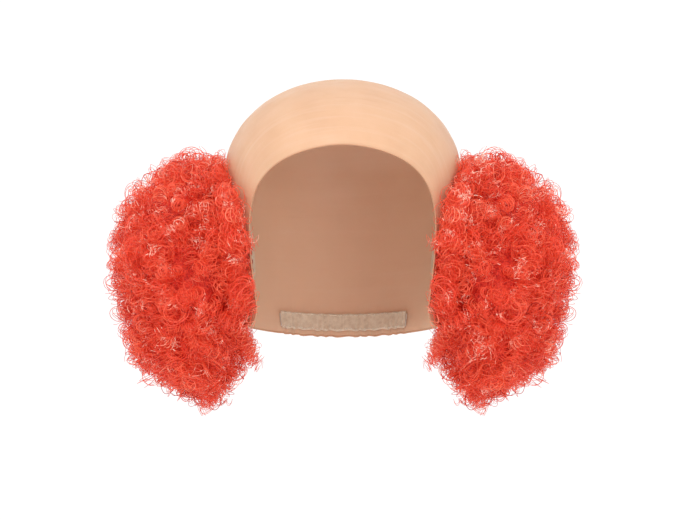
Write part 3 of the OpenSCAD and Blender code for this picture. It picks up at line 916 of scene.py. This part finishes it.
def puffs():
    """Both puffs from one set of strands, which is mirrored, so that the two sides match."""
    outline = Outline()
    rng = np.random.default_rng(SEED)
    u, v = outline.draw(rng, LOCKS)
    lock_way = unit(rng.normal(size=(LOCKS, 3)) + [0, 0, -0.5])
    locks = {"tip": tip_point(u, v, 2 * MM), "depth": rng.uniform(-1.2, 2, LOCKS) * MM, "way": lock_way}
    strands = TRIANGLES_PER_PUFF // (6 * (CURL_STEPS - 1))
    for row in range(1, WEFT_ROWS + 1):
        low, high = row_span(row)
        inside = (outline.u >= low) & (outline.u < high)
        share = outline.area[inside].sum() / outline.area.sum()
        parts = [puff_curls(rng, outline, locks, row, round(strands * OUTER_SHARE * share)),
                 stray_curls(rng, outline, row, round(strands * STRAY_SHARE * share)),
                 rim_curls(rng, row, round(strands * RIM_SHARE / WEFT_ROWS)),
                 root_curls(rng, row, round(strands * ROOT_SHARE / WEFT_ROWS))]
        points, out, tone = (np.concatenate(x) for x in zip(*parts))
        counts = [len(part[0]) for part in parts]
        thick = np.repeat([STRAND_R, STRAY_R, STRAND_R, ROOT_R], counts)
        loose = np.repeat([0.0, 1.0, 0.0, 0.0], counts)
        points = keep_off_head(points)
        halves = {"": np.full(len(points), True)}
        if len(points) * 6 * CURL_STEPS > SPLIT_ABOVE:
            front = points[:, -1, 1] < HEAD_Y
            halves = {"_front": front, "_back": ~front}
        for side_name in SIDES:
            for half, mine in halves.items():
                replaced = None if half == "_back" else f"{side_name}_curls_{row}"
                name = f"{side_name}_curly_fibre_{row}{half}"
                fibre_piece(name, replaced, side_name, points[mine], out[mine], tone[mine], thick[mine],
                            loose[mine])
    for side_name in SIDES:
        underhair(side_name)


# ---- the camera, lights and floor
def aim(thing, target):
    thing.rotation_mode = "QUATERNION"
    thing.rotation_quaternion = (Vector(target) - thing.location).to_track_quat("-Z", "Y")


def camera():
    distance, width = 1.6, 0.515
    x, z = 0.0052, -0.0186  # the middle of the view
    data = bpy.data.cameras.new("camera")
    data.lens = data.sensor_width * distance / width
    made = bpy.data.objects.new("camera", data)
    made.location = (x, -distance, z)
    bpy.context.scene.collection.objects.link(made)
    aim(made, (x, 0, z))
    bpy.context.scene.camera = made


def area_light(name, place, size, power):
    data = bpy.data.lights.new(name, "AREA")
    data.shape = "DISK"
    data.size, data.energy = size, power
    made = bpy.data.objects.new(name, data)
    made.location = place
    bpy.context.scene.collection.objects.link(made)
    aim(made, (0, 0, -0.02))


def studio():
    world = bpy.data.worlds.new("studio")
    world.use_nodes = True
    world.node_tree.nodes["Background"].inputs["Color"].default_value = (1, 1, 1, 1)
    world.node_tree.nodes["Background"].inputs["Strength"].default_value = 1.06
    bpy.context.scene.world = world
    area_light("key", (-0.5, -1.5, 1.3), 0.35, 12)
    area_light("fill", (0.7, -1.7, 0.1), 0.7, 5.5)
    scene = bpy.context.scene
    scene.view_settings.view_transform = "Standard"
    scene.cycles.max_bounces = 16
    scene.cycles.diffuse_bounces = 12
    material, tree, shader = new_material("floor", 0.9)
    tree.links.new(ramp(tree, noise(tree, 3), [(0.3, (0.86, 0.86, 0.86)), (0.7, (0.9, 0.9, 0.9))]),
                   shader.inputs["Base Color"])
    corners, radius, level = 96, 1.9, -0.45
    ring = np.arange(corners) * 2 * math.pi / corners
    points = np.stack([radius * np.cos(ring), radius * np.sin(ring), np.full(corners, level)], -1)
    floor = add_mesh("floor", points, [np.arange(corners)[None]], [material])


camera()
studio()
bald_cap()
for side_name, side in SIDES.items():
    side_cloth(f"{side_name}_base_cloth", f"{side_name}_hair_base", side, BASE_HALF_A, 1,
               BASE_OFF, BASE_OFF + BASE_WALL, BASE_CLOTH)
    side_cloth(f"{side_name}_lining_patch", f"{side_name}_backing_patch", side, BASE_HALF_A * BACKING_GROW,
               BACKING_GROW, BACKING_OFF, BACKING_OFF + BACKING_WALL, LINING, 0.2 * MM)
    side_stitches(f"{side_name}_seam_thread", f"{side_name}_base_stitching", side)
    for row in range(1, WEFT_ROWS + 1):
        weft(side_name, side, row)
nape_cloth("nape_channel", "nape_casing", CASING_H, 0, CASING_OFF,
           CASING_OFF + CASING_WALL, LINING)
nape_cloth("nape_band", "nape_elastic", ELASTIC_H, (CASING_H - ELASTIC_H) / 2, ELASTIC_OFF,
           ELASTIC_OFF + ELASTIC_WALL, ELASTIC)
nape_stitches()
puffs()
